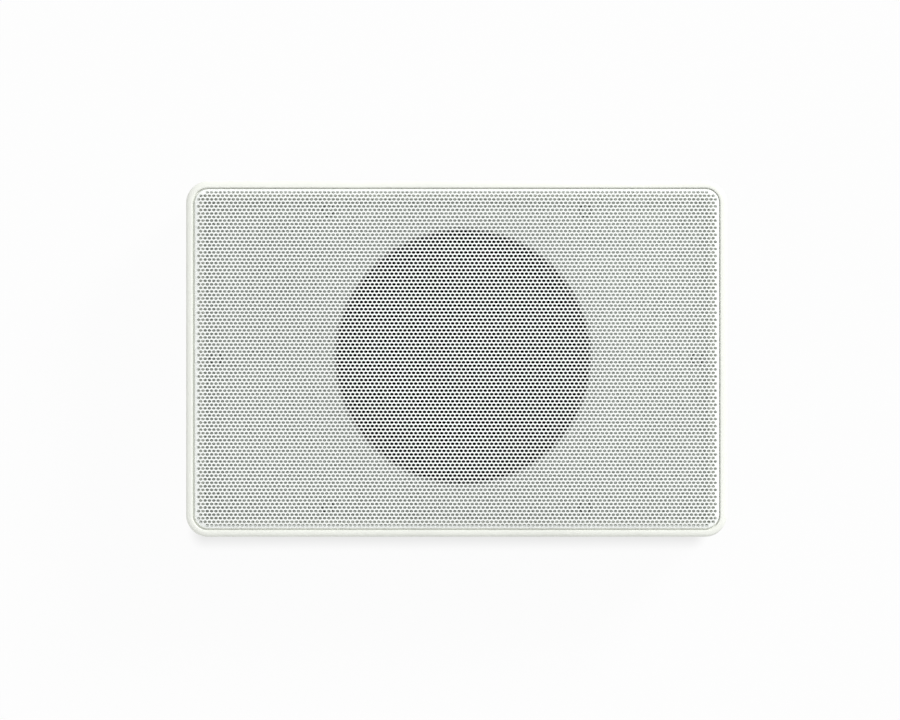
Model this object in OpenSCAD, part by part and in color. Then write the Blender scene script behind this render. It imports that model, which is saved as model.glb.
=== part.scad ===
// Flat wall speaker: a shallow moulded case with one cone driver behind a perforated steel grille.
// Millimetres. +Z is up, +X is to the right seen from the front, and the front faces -Y.
// The origin is the centre of the back face, which lies on the wall at Y = 0.
// Every module is drawn lying on its back, with its height measured from the wall, and stood up by stand().

/* [Case] */
// Width of the front frame
frame_w = 260; // [235:1:400]
// Height of the front frame
frame_h = 171; // [166:1:300]
// Corner radius of the front frame
corner_r = 10.5; // [9.5:0.5:30]
// How far the frame stands out past the housing behind it
frame_overhang = 1.2; // [0.6:0.1:1.4]
// Wall thickness of the rear housing
case_wall = 2.6; // [2:0.1:3.4]
// How much narrower the housing is at the wall, each side
case_draft = 0.8; // [0:0.1:2]
// Rounding of the housing's back edge
back_edge_r = 3; // [2:0.5:5]

/* [Front frame] */
// Width of the rim seen from the front
rim_w = 3.2; // [3.1:0.1:4]
// Rounding of the rim's outer edge
rim_outer_r = 2.4; // [0.5:0.1:2.5]
// Rounding of the rim's inner edge
rim_inner_r = 0.5; // [0.2:0.1:0.6]
// Width of the inner ledge that carries the grille
ledge_w = 5.4; // [5:0.1:5.6]
// Thickness of that ledge
ledge_t = 3; // [2:0.1:4]

/* [Grille] */
// Gap between the rim and the grille
grille_gap = 0.7; // [0.3:0.1:1]
// How far the grille stands proud of the rim
grille_proud = 0.4; // [0:0.1:1]
// Thickness of the grille's sheet
grille_t = 0.8; // [0.6:0.1:1]
// Outside radius of the folded edge
grille_bend_r = 1.3; // [1.1:0.1:2]
// Space between the back of the grille and the baffle
grille_space = 8.2; // [8:0.1:15]
// Distance between two holes of a row
hole_pitch = 8.36; // [7.5:0.1:14]
// Distance between two rows of holes
row_pitch = 6.8; // [6:0.1:12]
// Diameter of a hole
hole_d = 4.4; // [2:0.1:5]
// Plain border around the holes
hole_margin = 1.4; // [1:0.1:6]

/* [Baffle] */
// Thickness of the baffle
baffle_t = 5; // [4:0.5:8]
// Clearance between the baffle and the rim
baffle_clear = 0.3; // [0.2:0.1:0.5]

/* [Driver] */
// Diameter of the driver's flange
driver_d = 121.6; // [112:0.1:123]
// Driver centre to the right of the case's centre
driver_x = 3.2; // [-6:0.1:6]
// Driver centre above the case's centre
driver_z = 1.1; // [-2:0.1:2]
// Height of the basket from its flange's face to its back
basket_depth = 26.8; // [25:0.1:32]
// Sheet thickness of the basket
basket_t = 1.2; // [0.8:0.1:1.5]
// Thickness of the gasket under the flange
gasket_t = 1; // [0.5:0.1:2]
// Width of the surround's half roll
roll_w = 7; // [5:0.5:7]
// Wall thickness of the surround
surround_t = 0.8; // [0.5:0.1:1]
// Thickness of the cone
cone_t = 0.8; // [0.4:0.1:1]
// Depth of the cone from its rim to its neck
cone_depth = 16; // [14:0.5:17]
// Diameter of the dust cap
cap_d = 38; // [32:0.5:44]
// Height of the dust cap's dome
cap_h = 6.5; // [4:0.5:8]

/* [Motor] */
// Diameter of the pole
pole_d = 24; // [20:0.5:26]
// Gap between the pole and the voice coil
inner_gap = 0.5; // [0.3:0.1:0.8]
// Gap between the voice coil and the top plate
outer_gap = 0.6; // [0.4:0.1:0.8]
// Wall of the voice coil's former
former_t = 0.3; // [0.2:0.1:0.5]
// Thickness of the winding
winding_t = 0.6; // [0.4:0.1:0.8]
// Height of the winding
winding_h = 8; // [6:0.5:9]
// Diameter of the top plate and of the yoke
plate_d = 72; // [66:0.5:74]
// Thickness of the top plate
top_plate_t = 4; // [3:0.5:6]
// Diameter of the ring magnet
magnet_d = 76; // [70:0.5:80]
// Inside diameter of the ring magnet
magnet_hole_d = 34; // [32:0.5:38]
// Thickness of the ring magnet
magnet_t = 8; // [6:0.5:14]
// Thickness of the yoke's plate
yoke_t = 4; // [3:0.5:6]
// Space between the yoke and the housing's floor
motor_clear = 0.6; // [0.4:0.1:20]

/* [Fixings] */
// Diameter of the four wall screw holes
wall_hole_d = 4.8; // [4:0.1:6]
// Distance of the wall screw holes from the frame's edges
wall_screw_inset = 18; // [17:0.5:19]
// Distance of the case screws from the frame's edges
case_screw_inset = 14; // [13.5:0.5:14.5]
// Distance of the upper and lower case screws from the middle
case_screw_x = 62; // [50:1:80]
// Diameter of a case screw's head
case_head_d = 5.6; // [5:0.1:6]
// Diameter of a driver screw's head
driver_head_d = 5; // [4.4:0.1:5.4]
// Diameter of a driver screw's shank
driver_shank_d = 2.6; // [2:0.1:3]

/* [Cable] */
// Distance of the cable entry from the frame's left edge
cable_inset_x = 46; // [40:1:52]
// Distance of the cable entry from the frame's lower edge
cable_inset_z = 43.5; // [40:0.5:48]
// Diameter of the hole for the cable
cable_hole_d = 6; // [4:0.5:7]
// Diameter of an inner lead
lead_d = 1.8; // [1.2:0.1:2.2]

/* [Hidden] */

round_fn = 96;
small_fn = 32;
arc_steps = 8;
eps = 0.01;
fit_clear = 0.3;
screw_clear = 0.05;

// Heights from the wall: the case is as deep as the driver needs
yoke_back = case_wall + motor_clear;
magnet_back = yoke_back + yoke_t;
top_plate_back = magnet_back + magnet_t;
basket_back = top_plate_back + top_plate_t;
baffle_face = basket_back + basket_depth;
baffle_back = baffle_face - baffle_t;
flange_back = baffle_face - basket_t;
recess_floor = flange_back - gasket_t;
grille_back = baffle_face + grille_space;
depth = grille_back + grille_t;
rim_face = depth - grille_proud;

// Distances from the frame's corner centres, outwards
rim_in = corner_r - rim_w;
ledge_in = rim_in - ledge_w;
grille_out = rim_in - grille_gap;
grille_flat = grille_out - grille_bend_r;
case_out = corner_r - frame_overhang;
case_in = case_out - case_wall;
seal_w = 3.6;
seal_t = 1.5;
seal_back = baffle_back - seal_t;
shelf_t = 2;

// Case screws
case_head_h = 1.8;
case_shank_d = 2.9;
case_screw_reach = 14;
case_post_d = 8;
wall_tower_d = 10;
gusset_t = 1.6;
gusset_h = 22;

// Driver radii, from the flange inwards
head_edge = 0.7;
land_w = 4;
inner_land_w = 3.2;
bowl_clear = 1.5;
flange_r = driver_d / 2;
driver_screw_r = flange_r - driver_head_d / 2 - head_edge;
land_out = driver_screw_r - driver_head_d / 2 - fit_clear;
roll_out = land_out - land_w;
roll_in = roll_out - roll_w;
cone_r = roll_in - inner_land_w;
bowl_r = roll_out + bowl_clear;
cutout_r = bowl_r + basket_t + 2 * fit_clear;
recess_r = flange_r + fit_clear;
recess_chamfer = 1.4;
driver_screw_turn = 45;
driver_screws_count = 4;
driver_head_h = 1.5;
driver_shank_l = 8;

// Basket
shelf_rise = 5.4;
shelf_face = basket_back + shelf_rise;
shelf_out_r = 38.5;
shelf_in_r = 30.5;
base_out_r = 29;
base_lip = 2.4;
base_in_r = pole_d / 2 + inner_gap + former_t + winding_t + outer_gap + base_lip;
windows = 6;
window_angle = 36;
window_edge = 3.4;
window_low = shelf_face + window_edge;
window_high = flange_back - window_edge;

// Voice coil and cone
former_in = pole_d / 2 + inner_gap;
former_out = former_in + former_t;
winding_out = former_out + winding_t;
gap_out = winding_out + outer_gap;
winding_mid = basket_back - top_plate_t / 2;
former_end = 0.8;
former_foot = winding_mid - winding_h / 2 - former_end;
collar_h = 2;
neck_height = baffle_face - cone_t / 2 - cone_depth;
former_rise = 0.6;
former_top = neck_height + former_rise;
rim_lap = 0.4;
cone_steps = 10;
cone_bulge = 1.25;

// Spider
spider_t = 0.5;
spider_waves = 4;
spider_wave_h = 1.4;
spider_steps = 24;
spider_lip = 1;
spider_seat = 1.4;
spider_edge = 2.6;
spider_land_r = shelf_in_r + spider_seat;
spider_out_r = shelf_out_r - spider_edge;
spider_mid = shelf_face + spider_t / 2;

// Cable entry and terminal block
cable_x = cable_inset_x - frame_w / 2;
cable_z = cable_inset_z - frame_h / 2;
entry_recess = 1.4;
entry_pad_t = 1.6;
entry_pad_edge = 1;
grommet_wall = 2;
grommet_lip = 2.2;
grommet_neck_r = cable_hole_d / 2 + grommet_wall;
grommet_flange_r = grommet_neck_r + grommet_lip;
grommet_flange_t = 1.2;
block_w = 14;
block_l = 24;
block_h = 11;
block_gap = 18;
pole_pitch = 10;
well_d = 4.6;
wire_hole_d = 3;

// Tag board
board_w = 14;
board_l = 10;
board_t = 1.5;
tag_w = 3;
tag_l = 11;
tag_t = 0.5;
tag_pitch = 8;
board_edge = 1;
bowl_lean = atan2(bowl_r - shelf_out_r, flange_back - shelf_face);
bowl_mid_r = (bowl_r + shelf_out_r) / 2;
bowl_mid_h = (flange_back + shelf_face) / 2;

// Leads: the ends beside the tags are measured from the middle of the bowl's side
braid_d = 1.2;
braid_out = 4;
braid_back = 4;
braid_bow = 15;
braid_rise = 3;
braid_joint_r = 28;
braid_joint_gap = 0.6;
lead_out = 4.6;
lead_back = 8.6;
lead_bend = 6;

function unit(v) = v / norm(v);
function tangent(p, i) = unit(p[min(i + 1, len(p) - 1)] - p[max(i - 1, 0)]);

// Side step that keeps an even thickness t along a bent path, half of it on each side
function side_step(p, i, t) =
  let (
    a = unit(p[max(i, 1)] - p[max(i, 1) - 1]),
    b = unit(p[min(i, len(p) - 2) + 1] - p[min(i, len(p) - 2)]),
    n = unit([-a[1] - b[1], a[0] + b[0]])
  )
  n * t / 2 / (n * [-a[1], a[0]]);

// Points of an arc about a centre, from one angle to another
function arc(centre, r, from, to, steps) =
  [for (i = [0 : steps])
    let (a = from + (to - from) * i / steps) centre + r * [cos(a), sin(a)]];

// Closed outline of a sheet of thickness t along a path
function sheet_outline(p, t) = concat(
  [for (i = [0 : len(p) - 1]) p[i] + side_step(p, i, t)],
  [for (i = [len(p) - 1 : -1 : 0]) p[i] - side_step(p, i, t)]
);

// Curve through points, by Catmull and Rom's rule
function curve_point(a, b, c, d, t) =
  (2 * b + (c - a) * t + (2 * a - 5 * b + 4 * c - d) * t * t + (3 * b - a - 3 * c + d) * t * t * t) / 2;
function smooth_path(p, steps) = concat(
  [for (i = [0 : len(p) - 2], s = [0 : steps - 1])
    curve_point(p[max(i - 1, 0)], p[i], p[i + 1], p[min(i + 2, len(p) - 1)], s / steps)],
  [p[len(p) - 1]]
);

module stand() {
  rotate([90, 0, 0]) children();
}

// Drawn about the driver's axis
module at_driver() {
  stand() translate([driver_x, driver_z, 0]) children();
}

// A profile carried round a rounded rectangle, with x = 0 at its corner centres
module carry_round(w, h, r) {
  for (turn = [0 : 3]) {
    long = (turn % 2 == 0) ? h / 2 - r : w / 2 - r;
    out = (turn % 2 == 0) ? w / 2 - r : h / 2 - r;
    rotate(turn * 90) {
      translate([out, long, 0]) rotate([90, 0, 0]) linear_extrude(height = 2 * long) children();
      translate([out, long, 0]) rotate_extrude(angle = 90, $fn = round_fn) children();
    }
  }
}

module rounded_plate(w, h, r) {
  square([w - 2 * r, h], center = true);
  square([w, h - 2 * r], center = true);
  for (x = [-1, 1], y = [-1, 1])
    translate([x * (w / 2 - r), y * (h / 2 - r)]) circle(r = r, $fn = round_fn);
}

module at_wall_screws() {
  for (x = [-1, 1], y = [-1, 1])
    translate([x * (frame_w / 2 - wall_screw_inset), y * (frame_h / 2 - wall_screw_inset), 0]) children();
}

module at_case_screws() {
  for (x = [-1, 1]) {
    translate([x * (frame_w / 2 - case_screw_inset), 0, 0]) children();
    for (y = [-1, 1])
      translate([x * case_screw_x, y * (frame_h / 2 - case_screw_inset), 0]) children();
  }
}

module ring(outer, inner, from, to) {
  translate([0, 0, from]) difference() {
    cylinder(r = outer, h = to - from, $fn = round_fn);
    translate([0, 0, -1]) cylinder(r = inner, h = to - from + 2, $fn = round_fn);
  }
}

// Wall section of the housing: floor, drafted side with a rounded back edge, and the seal's shelf
module housing_profile() {
  foot = case_out - case_draft;
  polygon(concat(
    [[0, 0]],
    arc([foot - back_edge_r, back_edge_r], back_edge_r, -90, 0, arc_steps),
    [
      [case_out, baffle_back],
      [case_in, baffle_back],
      [case_in, seal_back],
      [case_in - seal_w, seal_back],
      [case_in - seal_w, seal_back - shelf_t],
      [case_in, seal_back - shelf_t - seal_w],
      [foot - case_wall, case_wall],
      [0, case_wall]
    ]
  ));
}

module rear_housing() {
  color("#eeeeea") stand() difference() {
    union() {
      carry_round(frame_w, frame_h, corner_r) housing_profile();
      translate([corner_r - frame_w / 2, corner_r - frame_h / 2, 0])
        cube([frame_w - 2 * corner_r, frame_h - 2 * corner_r, case_wall]);
      at_wall_screws() cylinder(d = wall_tower_d, h = baffle_back, $fn = small_fn);
      at_case_screws() cylinder(d = case_post_d, h = baffle_back, $fn = small_fn);
      tower_gussets();
      translate([cable_x, cable_z, 0])
        cylinder(r = grommet_flange_r + entry_pad_edge, h = case_wall + entry_pad_t, $fn = small_fn);
    }
    at_wall_screws() translate([0, 0, -1]) cylinder(d = wall_hole_d, h = baffle_back + 2, $fn = small_fn);
    at_case_screws() translate([0, 0, baffle_back - case_screw_reach])
      cylinder(d = case_shank_d + 2 * screw_clear, h = case_screw_reach + 1, $fn = small_fn);
    translate([cable_x, cable_z, -1]) {
      cylinder(r = grommet_neck_r, h = case_wall + entry_pad_t + 2, $fn = small_fn);
      cylinder(r = grommet_flange_r + fit_clear, h = entry_recess + 1, $fn = small_fn);
    }
  }
}

// Two thin webs from each wall screw tower to the housing's nearest sides
module tower_gussets() {
  reach = wall_screw_inset - (frame_overhang + case_draft + case_wall / 2);
  for (x = [-1, 1], y = [-1, 1])
    translate([x * (frame_w / 2 - wall_screw_inset), y * (frame_h / 2 - wall_screw_inset), 0]) {
      translate([x > 0 ? 0 : -reach, -gusset_t / 2, 0]) cube([reach, gusset_t, gusset_h]);
      translate([-gusset_t / 2, y > 0 ? 0 : -reach, 0]) cube([gusset_t, reach, gusset_h]);
    }
}

module case_seal() {
  color("#3a3a3a") stand() carry_round(frame_w, frame_h, corner_r)
    translate([case_in - seal_w, seal_back]) square([seal_w - fit_clear, seal_t]);
}

// Rim with both edges rounded, and the ledge inside it
module frame_profile() {
  polygon(concat(
    [[rim_in, baffle_back], [corner_r, baffle_back]],
    arc([corner_r - rim_outer_r, rim_face - rim_outer_r], rim_outer_r, 0, 90, arc_steps),
    arc([rim_in + rim_inner_r, rim_face - rim_inner_r], rim_inner_r, 90, 180, arc_steps / 2),
    [
      [rim_in, baffle_face + ledge_t],
      [ledge_in, baffle_face + ledge_t],
      [ledge_in, baffle_face],
      [rim_in, baffle_face]
    ]
  ));
}

module front_frame() {
  color("#f6f6f4") stand() carry_round(frame_w, frame_h, corner_r) frame_profile();
}

module baffle() {
  inset = rim_w + baffle_clear;
  color("#c9cac7") stand() difference() {
    translate([0, 0, baffle_back]) linear_extrude(height = baffle_t)
      rounded_plate(frame_w - 2 * inset, frame_h - 2 * inset, corner_r - inset);
    translate([driver_x, driver_z, 0]) {
      translate([0, 0, baffle_back - 1]) cylinder(r = cutout_r, h = baffle_t + 2, $fn = round_fn);
      translate([0, 0, recess_floor]) cylinder(r = recess_r, h = baffle_t, $fn = round_fn);
      translate([0, 0, baffle_face - recess_chamfer])
        cylinder(r1 = recess_r, r2 = recess_r + recess_chamfer * 2, h = recess_chamfer * 2, $fn = round_fn);
      at_driver_screws() translate([0, 0, baffle_back - 1])
        cylinder(d = driver_shank_d + 2 * screw_clear, h = baffle_t, $fn = small_fn);
    }
    at_wall_screws() translate([0, 0, baffle_back - 1])
      cylinder(d = wall_hole_d, h = baffle_t + 2, $fn = small_fn);
    at_case_screws() {
      translate([0, 0, baffle_back - 1])
        cylinder(d = case_shank_d + 2 * fit_clear, h = baffle_t + 2, $fn = small_fn);
      translate([0, 0, baffle_face - case_head_h])
        cylinder(d = case_head_d + 2 * fit_clear, h = case_head_h + 1, $fn = small_fn);
    }
  }
}

// Folded edge of the grille: a quarter bend and a skirt that stands on the frame's ledge
module grille_edge_profile() {
  skirt_foot = baffle_face + ledge_t;
  centre = [grille_flat, depth - grille_bend_r];
  polygon(concat(
    arc(centre, grille_bend_r, 90, 0, arc_steps),
    [[grille_out, skirt_foot], [grille_out - grille_t, skirt_foot]],
    arc(centre, grille_bend_r - grille_t, 0, 90, arc_steps)
  ));
}

// One strip of the perforated face: a row of round holes, every second row shifted by half a pitch
module grille_strip(row, w, h, r) {
  cols = ceil(w / 2 / hole_pitch);
  y = row * row_pitch;
  difference() {
    intersection() {
      rounded_plate(w, h, r);
      translate([-w / 2, y - row_pitch / 2]) square([w, row_pitch]);
    }
    for (col = [-cols : cols]) {
      x = (col + (abs(row) % 2) / 2) * hole_pitch;
      inner_r = r - hole_margin - hole_d / 2;
      past = [max(abs(x) - (w / 2 - r), 0), max(abs(y) - (h / 2 - r), 0)];
      if (norm(past) <= inner_r) translate([x, y]) circle(d = hole_d, $fn = small_fn);
    }
  }
}

module grille() {
  w = frame_w - 2 * (corner_r - grille_flat);
  h = frame_h - 2 * (corner_r - grille_flat);
  rows = ceil((h / 2 - row_pitch / 2) / row_pitch);
  color("#fbfbf8") stand() {
    translate([0, 0, grille_back]) linear_extrude(height = grille_t)
      for (row = [-rows : rows]) grille_strip(row, w, h, grille_flat);
    carry_round(frame_w, frame_h, corner_r) grille_edge_profile();
  }
}

// Pan head screw, head down to its seat at height 0
module pan_screw(head_d, head_h, shank_d, shank_l) {
  top_d = head_d * 0.8;
  cross_l = head_d * 0.6;
  cross_w = head_d / 9;
  cross_foot = head_h * 0.45;
  difference() {
    cylinder(d1 = head_d, d2 = top_d, h = head_h, $fn = small_fn);
    for (turn = [0, 90])
      rotate(turn) translate([-cross_l / 2, -cross_w / 2, cross_foot]) cube([cross_l, cross_w, head_h]);
  }
  translate([0, 0, -shank_l]) cylinder(d = shank_d, h = shank_l + eps, $fn = small_fn);
}

module case_screws() {
  color("#8c8c8c") stand() at_case_screws() translate([0, 0, baffle_face - case_head_h])
    pan_screw(case_head_d, case_head_h, case_shank_d, baffle_t - case_head_h + case_screw_reach - 1);
}

module at_driver_screws() {
  for (i = [0 : driver_screws_count - 1])
    rotate(driver_screw_turn + i * 360 / driver_screws_count) translate([driver_screw_r, 0, 0]) children();
}

module driver_gasket() {
  color("#2b2b2b") at_driver() difference() {
    ring(flange_r - fit_clear, cutout_r, recess_floor, flange_back);
    at_driver_screws() translate([0, 0, recess_floor - 1])
      cylinder(d = driver_shank_d + 2 * fit_clear, h = gasket_t + 2, $fn = small_fn);
  }
}

// Stamped basket: flange, bowl with windows, shelf for the spider, and base on the top plate
module driver_basket() {
  half = basket_t / 2;
  color("#1c1c1c") at_driver() difference() {
    rotate_extrude($fn = round_fn) polygon(sheet_outline([
      [flange_r, baffle_face - half],
      [bowl_r, baffle_face - half],
      [shelf_out_r, shelf_face - half],
      [shelf_in_r, shelf_face - half],
      [base_out_r, basket_back + half],
      [base_in_r, basket_back + half]
    ], basket_t));
    for (i = [0 : windows - 1])
      rotate((i + 0.5) * 360 / windows - window_angle / 2)
        rotate_extrude(angle = window_angle, $fn = round_fn) polygon([
          [shelf_in_r, window_low],
          [flange_r, window_low],
          [flange_r, window_high],
          [shelf_in_r, window_high]
        ]);
    at_driver_screws() translate([0, 0, flange_back - 1])
      cylinder(d = driver_shank_d + 2 * fit_clear, h = basket_t + 2, $fn = small_fn);
  }
}

module driver_screws() {
  color("#202020") at_driver() at_driver_screws() translate([0, 0, baffle_face])
    pan_screw(driver_head_d, driver_head_h, driver_shank_d, driver_shank_l - 2);
}

// Half roll between two flat lands: the outer one lies on the flange, the inner one on the cone's rim
module surround() {
  level = baffle_face + surround_t / 2;
  mid = (roll_out + roll_in) / 2;
  roll = [for (a = [0 : 15 : 180]) [mid + roll_w / 2 * cos(a), level + roll_w / 2 * sin(a)]];
  color("#161616") at_driver() rotate_extrude($fn = round_fn)
    polygon(sheet_outline(concat([[land_out, level]], roll, [[cone_r, level]]), surround_t));
}

function cone_height(r) =
  let (s = (cone_r - r) / (cone_r - former_out - cone_t / 2))
  baffle_face - cone_t / 2 - cone_depth * pow(max(s, 0), cone_bulge);

module cone() {
  neck_r = former_out + cone_t / 2;
  slope = [for (i = [0 : cone_steps])
    let (r = cone_r + (neck_r - cone_r) * i / cone_steps) [r, cone_height(r)]];
  color("#1a1a1a") at_driver() rotate_extrude($fn = round_fn)
    polygon(sheet_outline(concat([[roll_in + rim_lap, baffle_face - cone_t / 2]], slope,
      [[neck_r, neck_height - collar_h]]), cone_t));
}

module dust_cap() {
  cap_t = 0.6;
  rim = cone_height(cap_d / 2) + cone_t + cap_t / 2;
  bow = (cap_d * cap_d / 4 + cap_h * cap_h) / (2 * cap_h);
  dome = arc([0, rim + cap_h - bow], bow, 90 - asin(cap_d / 2 / bow), 90, arc_steps);
  color("#111111") at_driver() rotate_extrude($fn = round_fn)
    polygon([for (q = sheet_outline(dome, cap_t)) [max(q[0], 0), q[1]]]);
}

// Corrugated disc from the former to the basket's shelf
module spider() {
  inner = former_out + spider_t / 2;
  waves = [for (i = [1 : spider_steps])
    [inner + (spider_land_r - inner) * i / spider_steps,
      spider_mid - spider_wave_h / 2 * sin(360 * spider_waves * i / spider_steps)]];
  color("#b07a3c") at_driver() rotate_extrude($fn = round_fn)
    polygon(sheet_outline(concat([[inner, spider_mid + spider_lip], [inner, spider_mid]], waves,
      [[spider_out_r, spider_mid]]), spider_t));
}

module coil_former() {
  color("#c9a46a") at_driver() ring(former_out, former_in, former_foot, former_top);
}

module coil_winding() {
  color("#b5651d") at_driver()
    ring(winding_out, former_out, winding_mid - winding_h / 2, winding_mid + winding_h / 2);
}

module top_plate() {
  color("#9a9a9a") at_driver() ring(plate_d / 2, gap_out, top_plate_back, basket_back);
}

module ring_magnet() {
  color("#3b3b3d") at_driver() ring(magnet_d / 2, magnet_hole_d / 2, magnet_back, top_plate_back);
}

// Plate and pole in one, the pole's end level with the top plate
module yoke() {
  color("#9a9a9a") at_driver() {
    translate([0, 0, yoke_back]) cylinder(d = plate_d, h = yoke_t, $fn = round_fn);
    translate([0, 0, magnet_back - eps])
      cylinder(d = pole_d, h = basket_back - magnet_back + eps, $fn = round_fn);
  }
}

// Drawn on the left of the bowl, with z along the slope's outward normal
module at_bowl_side() {
  at_driver() rotate(180) translate([bowl_mid_r, 0, bowl_mid_h - basket_t / 2])
    rotate([0, 90 + bowl_lean, 0]) translate([0, 0, basket_t / 2 + fit_clear]) children();
}

module tag_board() {
  color("#6b4a2a") at_bowl_side() translate([-board_l / 2, -board_w / 2, 0])
    cube([board_l, board_w, board_t]);
}

module tags() {
  color("#c8a951") at_bowl_side() for (y = [-1, 1])
    translate([board_edge - board_l / 2, y * tag_pitch / 2 - tag_w / 2, board_t])
      cube([tag_l, tag_w, tag_t]);
}

// Screw block with two poles: a wire hole through each, and a well for its screw
module terminal_block() {
  color("#e4e4e0") stand() translate([cable_x, cable_z + block_gap, case_wall]) difference() {
    translate([-block_l / 2, -block_w / 2, 0]) cube([block_l, block_w, block_h]);
    for (x = [-1, 1]) translate([x * pole_pitch / 2, 0, 0]) {
      translate([0, 0, block_h / 2]) rotate([90, 0, 0])
        cylinder(d = wire_hole_d, h = block_w + 2, center = true, $fn = small_fn);
      translate([0, 0, block_h / 2]) cylinder(d = well_d, h = block_h, $fn = small_fn);
    }
  }
}

module terminal_screws() {
  screw_h = 3;
  slot_w = 0.8;
  slot_t = 1;
  color("#c8a951") stand() translate([cable_x, cable_z + block_gap, case_wall]) for (x = [-1, 1])
    translate([x * pole_pitch / 2, 0, block_h / 2 + wire_hole_d / 2]) difference() {
      cylinder(d = well_d - fit_clear, h = screw_h, $fn = small_fn);
      translate([-well_d, -slot_w / 2, screw_h - slot_t]) cube([2 * well_d, slot_w, 2 * slot_t]);
    }
}

// A round lead of even thickness along points, with closed ends
module lead(points, d) {
  sides = 8;
  path = smooth_path(points, 4);
  last = len(path) - 1;
  rings = [for (i = [0 : last])
    let (t = tangent(path, i), a = unit(cross(t, [0.2, 1, 0.1])), b = cross(t, a))
    for (k = [0 : sides - 1]) path[i] + d / 2 * (cos(k * 360 / sides) * a + sin(k * 360 / sides) * b)];
  walls = [for (i = [0 : last - 1], k = [0 : sides - 1])
    let (n = (k + 1) % sides)
    [i * sides + k, i * sides + n, (i + 1) * sides + n, (i + 1) * sides + k]];
  polyhedron(rings, concat([[for (k = [sides - 1 : -1 : 0]) k]], walls,
    [[for (k = [0 : sides - 1]) last * sides + k]]));
}

// Two fine braided leads from the tags, through the windows, to the back of the cone
module tinsel_leads() {
  tag_x = -bowl_mid_r - braid_out;
  tag_y = tag_pitch / 2 + tag_w / 2 + braid_d / 2 + fit_clear;
  tag_h = bowl_mid_h - braid_back;
  joint_h = cone_height(braid_joint_r) - cone_t / 2 - braid_d / 2 - braid_joint_gap;
  color("#b98a4a") at_driver() for (side = [-1, 1])
    lead([
      [tag_x - braid_d, side * tag_y, tag_h],
      [tag_x - braid_d, side * braid_bow * 0.75, tag_h + braid_rise],
      [tag_x + braid_rise, side * braid_bow, tag_h + braid_rise * 1.7],
      [-shelf_out_r, side * braid_bow * 0.93, tag_h + braid_rise * 2],
      [-braid_joint_r - braid_rise, side * braid_bow * 0.6, joint_h - braid_rise / 3],
      [-braid_joint_r + braid_d, side * braid_bow * 0.4, joint_h]
    ], braid_d);
}

// Two leads from the terminal block's upper holes to the tags
module inner_leads() {
  from_y = cable_z + block_gap + block_w / 2 + fit_clear;
  from_z = case_wall + block_h / 2;
  color("#a02020") stand() for (side = [-1, 1]) {
    from_x = cable_x + side * pole_pitch / 2;
    end = [driver_x - bowl_mid_r - lead_out, driver_z - side * tag_pitch / 2, bowl_mid_h - lead_back];
    lead([
      [from_x, from_y, from_z],
      [from_x, from_y + lead_bend, from_z],
      [from_x + 2 * lead_bend, from_y + 2 * lead_bend, from_z],
      (end + [from_x, from_y + lead_bend * 2.3, from_z]) / 2 + [lead_bend / 3, 0, lead_bend / 2],
      end - [lead_bend * 0.7, 0, lead_bend / 6],
      end
    ], lead_d);
  }
}

// Rubber grommet: two flanges with the housing's wall between them
module cable_grommet() {
  neck_foot = entry_recess;
  neck_top = case_wall + entry_pad_t;
  color("#1b1b1b") stand() translate([cable_x, cable_z, 0]) difference() {
    union() {
      translate([0, 0, neck_foot - grommet_flange_t])
        cylinder(r = grommet_flange_r, h = grommet_flange_t, $fn = small_fn);
      translate([0, 0, neck_foot - eps])
        cylinder(r = grommet_neck_r, h = neck_top - neck_foot + 2 * eps, $fn = small_fn);
      translate([0, 0, neck_top]) cylinder(r = grommet_flange_r, h = grommet_flange_t, $fn = small_fn);
    }
    translate([0, 0, -1])
      cylinder(d = cable_hole_d, h = neck_top + grommet_flange_t + 2, $fn = small_fn);
  }
}

// Felt pad on the housing's floor beside the magnet
module damping_pad() {
  pad_t = 12;
  pad_r = 6;
  pad_gap = 6;
  right = frame_w / 2 - wall_screw_inset - wall_tower_d;
  left = magnet_d / 2 + driver_x + pad_gap;
  tall = frame_h - 2 * (wall_screw_inset + wall_tower_d);
  color("#d8d4c8") stand() translate([(left + right) / 2, 0, case_wall])
    linear_extrude(height = pad_t) rounded_plate(right - left, tall, pad_r);
}

rear_housing();
case_seal();
front_frame();
baffle();
grille();
case_screws();
driver_gasket();
driver_basket();
driver_screws();
surround();
cone();
dust_cap();
spider();
coil_former();
coil_winding();
top_plate();
ring_magnet();
yoke();
tag_board();
tags();
tinsel_leads();
inner_leads();
terminal_block();
terminal_screws();
cable_grommet();
damping_pad();
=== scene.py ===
"""Flat wall speaker: finishes, fine perforation, soft driver parts and the stage, around the fixed frame."""

import math

import bmesh
import bpy
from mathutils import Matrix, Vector


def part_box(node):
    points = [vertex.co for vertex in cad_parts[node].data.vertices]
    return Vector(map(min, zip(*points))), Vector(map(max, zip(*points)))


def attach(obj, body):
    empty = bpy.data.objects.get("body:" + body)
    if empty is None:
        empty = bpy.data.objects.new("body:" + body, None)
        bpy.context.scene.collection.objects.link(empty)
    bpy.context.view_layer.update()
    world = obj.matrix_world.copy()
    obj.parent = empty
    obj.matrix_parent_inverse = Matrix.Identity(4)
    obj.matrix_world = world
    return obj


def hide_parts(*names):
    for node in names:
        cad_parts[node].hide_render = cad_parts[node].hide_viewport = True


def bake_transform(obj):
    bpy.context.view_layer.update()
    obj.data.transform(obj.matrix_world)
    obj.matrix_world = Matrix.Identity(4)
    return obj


bl_info = {
    "name": "Flat wall speaker",
    "version": (1, 0, 0),
    "blender": (4, 5, 0),
    "location": "3D View > Sidebar > Speaker",
    "description": "Dresses a shallow wall speaker with its grille, rim, driver and finishes",
    "category": "Object",
}

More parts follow.
